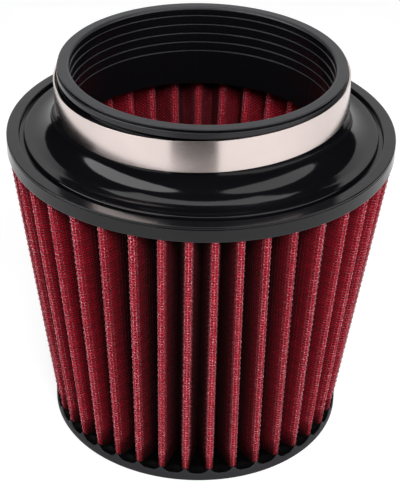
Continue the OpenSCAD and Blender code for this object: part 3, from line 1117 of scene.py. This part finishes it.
# %% Band steel
def steel(name, color, rough, streak):
    paint, tree, body = new_material(name)
    rolled = place_group(tree, rolled_lines, Streak=streak)
    skin = place_group(tree, uneven, Patch_Scale=70.0, Grain_Scale=3000.0,
                       Shade_Range=0.10, Gloss_Level=rough, Gloss_Range=0.02)
    tree.links.new(shaded_color(tree, color, skin["Shade"]), body.inputs["Base Color"])
    gloss = math_node(tree, "MULTIPLY", rolled["Lines"], 0.10)
    gloss = math_node(tree, "ADD", gloss, skin["Gloss"])
    tree.links.new(gloss, body.inputs["Roughness"])
    tree.links.new(rolled["Normal"], body.inputs["Normal"])
    body.inputs["Metallic"].default_value = 1.0
    return paint


band_steel = steel("band_steel", (0.68, 0.585, 0.56), 0.12, 0.008)
screw_steel = steel("screw_steel", (0.72, 0.71, 0.70), 0.22, 0.05)

# %% Band strip with its slots
band_w = 12.7 * mm
band_t = 0.65 * mm
band_r = lip_r + 0.45 * mm
tail_r = band_r + band_t + 0.8 * mm
back = math.radians(90)
inner_end = math.radians(12)
end_gap = math.radians(2)
step_span = math.radians(46)
tail_end = math.radians(30)
thread_pitch = 3 * mm
slot_angle = 2 * math.asin(thread_pitch / (2 * tail_r + band_t))
slot_half = 0.8 * mm / (tail_r + band_t / 2)
slot_l = 8.6 * mm
slot_lean = math.radians(5)
slots_before, slots_after = 15, 9
band_tilt = math.radians(2)
round_steps = 190
plain, slotted, last_line = 1, 2, 0
band_place = (Matrix.Translation((-0.1 * mm, 0, height - 4.1 * mm - band_w / 2))
              @ Matrix.Rotation(-band_tilt, 4, "Y"))


def strip_radius(a):
    """The strip's inside radius: it steps outwards before it passes over its own end."""
    start = back - inner_end - end_gap - step_span + full_turn
    u = min(1, max(0, (a - start) / step_span))
    return band_r + (tail_r - band_r) * u * u * (3 - 2 * u)


def strip_angles():
    """Angles of the grid lines, with a mark on those cells that hold a slot."""
    first = back - inner_end
    last = back + tail_end + full_turn
    slots = [back + full_turn + k * slot_angle for k in range(-slots_before, slots_after + 1)]
    lines = [(a, plain) for a in np.linspace(first, slots[0] - slot_half - 0.01, round_steps)]
    for a in slots:
        lines += [(a - slot_half, slotted), (a + slot_half, plain)]
    lines += [(last - 0.02, plain), (last, last_line)]
    return lines


def clamp_strip():
    lines = strip_angles()
    lean_reach = math.tan(slot_lean) / tail_r
    heights = [-band_w / 2, -slot_l / 2, slot_l / 2, band_w / 2]
    zone = back + full_turn - (slots_before + 1) * slot_angle
    points = []
    for face_off in (band_t, 0):
        for a, mark in lines:
            for z in heights:
                leaning = a - z * lean_reach if a > zone and mark != last_line else a
                r = strip_radius(leaning) + face_off
                here = Vector((r * math.cos(leaning), r * math.sin(leaning), z))
                points.append(band_place @ here)
    rows, side = len(heights), len(lines) * len(heights)
    faces = []
    for i in range(len(lines) - 1):
        for j in range(rows - 1):
            a, b = i * rows + j, (i + 1) * rows + j
            if lines[i][1] == slotted and j == 1:
                loop = (a, b, b + 1, a + 1)
                faces += [(loop[k], loop[(k + 1) % 4], side + loop[(k + 1) % 4], side + loop[k])
                          for k in range(4)]
                continue
            faces += [(a, b, b + 1, a + 1), (side + a, side + a + 1, side + b + 1, side + b)]
        a, b = i * rows, (i + 1) * rows
        c, d = a + rows - 1, b + rows - 1
        faces += [(a, side + a, side + b, b), (c, d, side + d, side + c)]
    last = (len(lines) - 1) * rows
    for j in range(rows - 1):
        faces += [(j, j + 1, side + j + 1, side + j),
                  (last + j, side + last + j, side + last + j + 1, last + j + 1)]
    piece = add_piece("clamp_strip", points, faces, band_steel, 35)
    face_outwards(piece)
    return piece


def soften(piece, width, segments=2, limit_deg=35):
    """Rounds a piece's sharp edges and keeps the result as a plain mesh."""
    bevel = piece.modifiers.new("edges", "BEVEL")
    bevel.width = width
    bevel.segments = segments
    bevel.limit_method = "ANGLE"
    bevel.angle_limit = math.radians(limit_deg)
    bevel.harden_normals = True
    seen = piece.evaluated_get(bpy.context.evaluated_depsgraph_get())
    mesh = bpy.data.meshes.new_from_object(seen)
    piece.modifiers.remove(bevel)
    piece.data = mesh
    return piece


strip = soften(clamp_strip(), 0.1 * mm)
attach(strip, "filter")
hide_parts("clamp_band")
print("strip faces:", len(strip.data.polygons))


# %% Housing and screw
def dressed_copy(node, name, paint, width):
    """A copy of a node's mesh, its triangles joined into flat faces, with softened edges."""
    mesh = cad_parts[node].data.copy()
    mesh.materials.clear()
    mesh.materials.append(paint)
    piece = add_object(name, mesh)
    work = bmesh.new()
    work.from_mesh(mesh)
    bmesh.ops.remove_doubles(work, verts=work.verts, dist=0.001 * mm)
    bmesh.ops.dissolve_limit(work, angle_limit=math.radians(1), verts=work.verts,
                             edges=work.edges)
    work.to_mesh(mesh)
    work.free()
    smooth_faces(mesh, 35)
    return soften(piece, width)


housing = dressed_copy("clamp_housing", "pressed_housing", screw_steel, 0.12 * mm)
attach(housing, "filter")
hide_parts("clamp_housing")
screw = dressed_copy("clamp_screw", "worm_screw", screw_steel, 0.1 * mm)
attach(screw, "screw")
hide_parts("clamp_screw")
